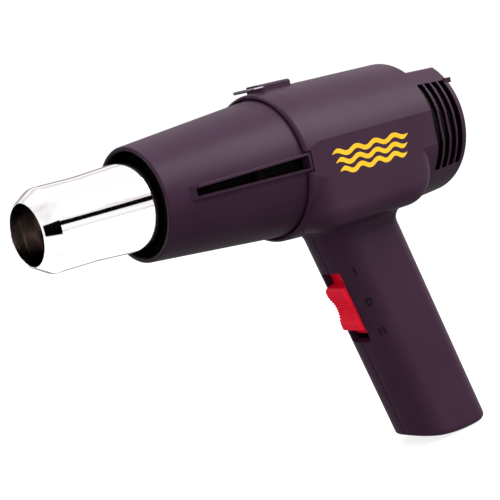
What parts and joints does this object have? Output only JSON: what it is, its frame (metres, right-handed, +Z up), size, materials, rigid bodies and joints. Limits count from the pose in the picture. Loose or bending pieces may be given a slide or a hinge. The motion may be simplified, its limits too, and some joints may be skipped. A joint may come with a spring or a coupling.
{
  "type": "heat gun",
  "caption": "Pistol-grip hot-air gun with a bare steel nozzle tube, tapered black shroud, vented barrel housing, hanging ring and a red slide switch in the handle.",
  "frame": {"origin": "on the barrel axis, where the straight seat of the nozzle tube meets its tapered mouth", "axes": "+X along the barrel towards the rear of the tool, +Y towards the right-hand shell, +Z up; the handle hangs towards -Z"},
  "size_m": [0.2539, 0.0748, 0.2084],
  "materials": {
    "air_duct": "heat-resistant moulding",
    "clamp_screws": "zinc-plated steel",
    "commutator": "copper segments",
    "cord_clamp": "moulded bar",
    "cord_gland": "soft rubber",
    "fan_impeller": "glass-filled nylon",
    "front_shroud": "satin moulded black plastic",
    "hang_ring": "bright bent spring wire",
    "heat_shield": "blackened steel sheet",
    "heater_base": "unglazed steatite ceramic",
    "heater_coils": "oxidised resistance wire",
    "housing_screws": "zinc-plated steel",
    "intake_screens": "dark woven screen",
    "left_housing_shell": "satin moulded black plastic",
    "mica_plate_flat": "mica sheet",
    "mica_plate_upright": "mica sheet",
    "mica_sleeve": "mica sheet",
    "motor_brushes": "carbon",
    "motor_bushes": "sintered bronze",
    "motor_can": "zinc-plated drawn steel",
    "motor_dampers": "soft rubber",
    "motor_end_bell": "black phenolic moulding",
    "motor_leads": "insulated stranded wire",
    "motor_magnets": "ferrite",
    "motor_rotor": "lacquered laminations",
    "motor_shaft": "ground steel",
    "nozzle_screws": "zinc-plated steel",
    "nozzle_tube": "polished steel, heat tinted inside the mouth",
    "rectifier_board": "paper-phenolic board",
    "rectifier_diodes": "epoxy bodies",
    "right_housing_shell": "satin moulded black plastic",
    "supply_leads": "insulated stranded wire",
    "switch_body": "moulded switch block",
    "switch_contact": "sprung brass",
    "switch_slider": "moulded red plastic",
    "switch_terminals": "tinned brass tabs",
    "thermal_cutout": "pressed aluminium cap"
  },
  "bodies": {
    "tool": {"air_duct": "air_duct", "clamp_screws": "clamp_screws", "cord_clamp": "cord_clamp", "cord_gland": "cord_gland", "front_shroud": "front_shroud", "heat_shield": "heat_shield", "heater_base": "heater_base", "heater_coils": "heater_coils", "housing_screws": "housing_screws", "intake_screens": "intake_screens", "left_housing_shell": "left_housing_shell", "mica_plate_flat": "mica_plate_flat", "mica_plate_upright": "mica_plate_upright", "mica_sleeve": "mica_sleeve", "motor_brushes": "motor_brushes", "motor_bushes": "motor_bushes", "motor_can": "motor_can", "motor_dampers": "motor_dampers", "motor_end_bell": "motor_end_bell", "motor_leads": "motor_leads", "motor_magnets": "motor_magnets", "nozzle_screws": "nozzle_screws", "nozzle_tube": "nozzle_tube", "rectifier_board": "rectifier_board", "rectifier_diodes": "rectifier_diodes", "right_housing_shell": "right_housing_shell", "supply_leads": "supply_leads", "switch_body": "switch_body", "switch_terminals": "switch_terminals", "thermal_cutout": "thermal_cutout"},
    "rotor": {"motor_shaft": "motor_shaft", "motor_rotor": "motor_rotor", "commutator": "commutator", "fan_impeller": "fan_impeller"},
    "slider": {"switch_slider": "switch_slider", "switch_contact": "switch_contact"},
    "ring": {"hang_ring": "hang_ring"}
  },
  "joints": [
    {"name": "switch_slide", "type": "slide", "parent": "tool", "child": "slider", "axis": [-0.279, 0, 0.9603], "range_m": [-0.0065, 0.0065]},
    {"name": "fan_spin", "type": "hinge", "parent": "tool", "child": "rotor", "pos_m": [0.19, 0, 0], "axis": [1, 0, 0], "continuous": true},
    {"name": "hang_ring_swing", "type": "hinge", "parent": "tool", "child": "ring", "pos_m": [0.1377, 0, 0.0399], "axis": [0, 1, 0], "range_deg": [0, 150]}
  ]
}
